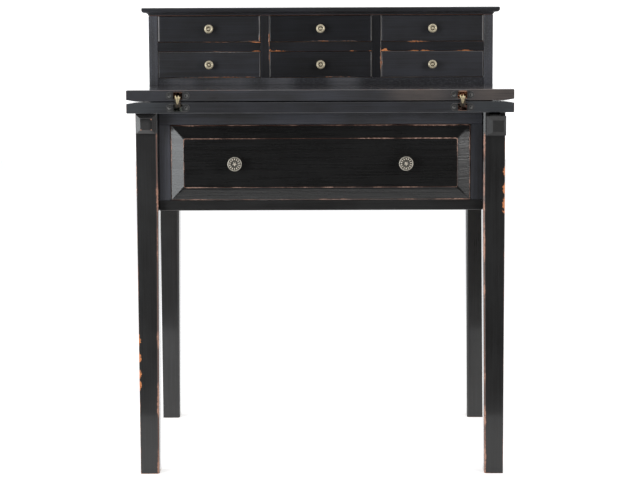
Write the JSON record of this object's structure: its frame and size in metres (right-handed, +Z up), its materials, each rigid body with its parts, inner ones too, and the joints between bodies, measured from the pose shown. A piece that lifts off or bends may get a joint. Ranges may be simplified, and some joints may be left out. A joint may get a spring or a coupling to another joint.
{
  "type": "fold-down desk",
  "caption": "Black painted writing desk: its leaf folds out over pull-out supports; a hutch of small drawers stands on top and a large drawer is below.",
  "frame": {"origin": "middle of the bounding box on the floor, with the right support drawn out as in the picture", "axes": "+Z up, +X to the right as seen from the front, the front looks along -Y"},
  "size_m": [0.796, 0.578, 0.9773],
  "materials": {
    "black_paint": "satin black paint, worn at the edges",
    "bare_wood": "bare light wood",
    "aged_brass": "aged, dull",
    "painted_brass": "painted over in black, worn",
    "bright_brass": "worn bright"
  },
  "bodies": {
    "base": {"leg_front_left": "black_paint", "leg_rear_left": "black_paint", "side_panel_left": "black_paint", "front_stile_left": "black_paint", "support_guide_left": "bare_wood", "drawer_runner_left": "bare_wood", "leg_front_right": "black_paint", "leg_rear_right": "black_paint", "side_panel_right": "black_paint", "front_stile_right": "black_paint", "support_guide_right": "bare_wood", "drawer_runner_right": "bare_wood", "front_rail_top": "black_paint", "front_rail_bottom": "black_paint", "case_back": "black_paint", "desk_top": "black_paint", "hutch_side_left": "black_paint", "hutch_divider_left": "black_paint", "hutch_side_right": "black_paint", "hutch_divider_right": "black_paint", "hutch_base": "black_paint", "hutch_shelf": "black_paint", "hutch_cornice": "black_paint", "hutch_back": "bare_wood", "hinge_case_lower_left": "painted_brass", "hinge_case_lower_right": "painted_brass"},
    "leaf": {"writing_leaf": "black_paint", "hinge_case_upper_left": "painted_brass", "hinge_case_upper_right": "painted_brass"},
    "links_lower_left": {"hinge_links_lower_left": "bright_brass"},
    "links_upper_left": {"hinge_links_upper_left": "bright_brass"},
    "links_lower_right": {"hinge_links_lower_right": "bright_brass"},
    "links_upper_right": {"hinge_links_upper_right": "bright_brass"},
    "support_left": {"support_left": "black_paint"},
    "support_right": {"support_right": "black_paint"},
    "large_drawer": {"large_drawer_front": "black_paint", "large_drawer_side_left": "bare_wood", "large_drawer_side_right": "bare_wood", "large_drawer_back": "bare_wood", "large_drawer_bottom": "bare_wood", "large_knob_left": "aged_brass", "large_knob_right": "aged_brass"},
    "small_drawer_top_left": {"small_drawer_front_top_left": "black_paint", "small_drawer_box_top_left": "bare_wood", "small_knob_top_left": "aged_brass"},
    "small_drawer_top_middle": {"small_drawer_front_top_middle": "black_paint", "small_drawer_box_top_middle": "bare_wood", "small_knob_top_middle": "aged_brass"},
    "small_drawer_top_right": {"small_drawer_front_top_right": "black_paint", "small_drawer_box_top_right": "bare_wood", "small_knob_top_right": "aged_brass"},
    "small_drawer_bottom_left": {"small_drawer_front_bottom_left": "black_paint", "small_drawer_box_bottom_left": "bare_wood", "small_knob_bottom_left": "aged_brass"},
    "small_drawer_bottom_middle": {"small_drawer_front_bottom_middle": "black_paint", "small_drawer_box_bottom_middle": "bare_wood", "small_knob_bottom_middle": "aged_brass"},
    "small_drawer_bottom_right": {"small_drawer_front_bottom_right": "black_paint", "small_drawer_box_bottom_right": "bare_wood", "small_knob_bottom_right": "aged_brass"}
  },
  "joints": [
    {"name": "leaf_fold", "type": "hinge", "parent": "base", "child": "leaf", "pos_m": [0, -0.2595, 0.7875], "axis": [1, 0, 0], "range_deg": [0, 180]},
    {"name": "link_lower_left", "type": "hinge", "parent": "base", "child": "links_lower_left", "pos_m": [-0.292, -0.2525, 0.7795], "axis": [1, 0, 0], "range_deg": [0, 90]},
    {"name": "link_upper_left", "type": "hinge", "parent": "leaf", "child": "links_upper_left", "pos_m": [-0.292, -0.2525, 0.7955], "axis": [1, 0, 0], "range_deg": [-90, 0]},
    {"name": "link_lower_right", "type": "hinge", "parent": "base", "child": "links_lower_right", "pos_m": [0.292, -0.2525, 0.7795], "axis": [1, 0, 0], "range_deg": [0, 90]},
    {"name": "link_upper_right", "type": "hinge", "parent": "leaf", "child": "links_upper_right", "pos_m": [0.292, -0.2525, 0.7955], "axis": [1, 0, 0], "range_deg": [-90, 0]},
    {"name": "support_left_slide", "type": "slide", "parent": "base", "child": "support_left", "axis": [0, -1, 0], "range_m": [0, 0.16]},
    {"name": "support_right_slide", "type": "slide", "parent": "base", "child": "support_right", "axis": [0, -1, 0], "range_m": [-0.03, 0.13]},
    {"name": "large_drawer_slide", "type": "slide", "parent": "base", "child": "large_drawer", "axis": [0, -1, 0], "range_m": [0, 0.32]},
    {"name": "small_drawer_top_left_slide", "type": "slide", "parent": "base", "child": "small_drawer_top_left", "axis": [0, -1, 0], "range_m": [0, 0.2]},
    {"name": "small_drawer_top_middle_slide", "type": "slide", "parent": "base", "child": "small_drawer_top_middle", "axis": [0, -1, 0], "range_m": [0, 0.2]},
    {"name": "small_drawer_top_right_slide", "type": "slide", "parent": "base", "child": "small_drawer_top_right", "axis": [0, -1, 0], "range_m": [0, 0.2]},
    {"name": "small_drawer_bottom_left_slide", "type": "slide", "parent": "base", "child": "small_drawer_bottom_left", "axis": [0, -1, 0], "range_m": [0, 0.2]},
    {"name": "small_drawer_bottom_middle_slide", "type": "slide", "parent": "base", "child": "small_drawer_bottom_middle", "axis": [0, -1, 0], "range_m": [0, 0.2]},
    {"name": "small_drawer_bottom_right_slide", "type": "slide", "parent": "base", "child": "small_drawer_bottom_right", "axis": [0, -1, 0], "range_m": [0, 0.2]}
  ],
  "couplings": [
    {"joint": "link_lower_left", "follows": "leaf_fold", "ratio": 0.5},
    {"joint": "link_upper_left", "follows": "leaf_fold", "ratio": -0.5},
    {"joint": "link_lower_right", "follows": "leaf_fold", "ratio": 0.5},
    {"joint": "link_upper_right", "follows": "leaf_fold", "ratio": -0.5}
  ]
}
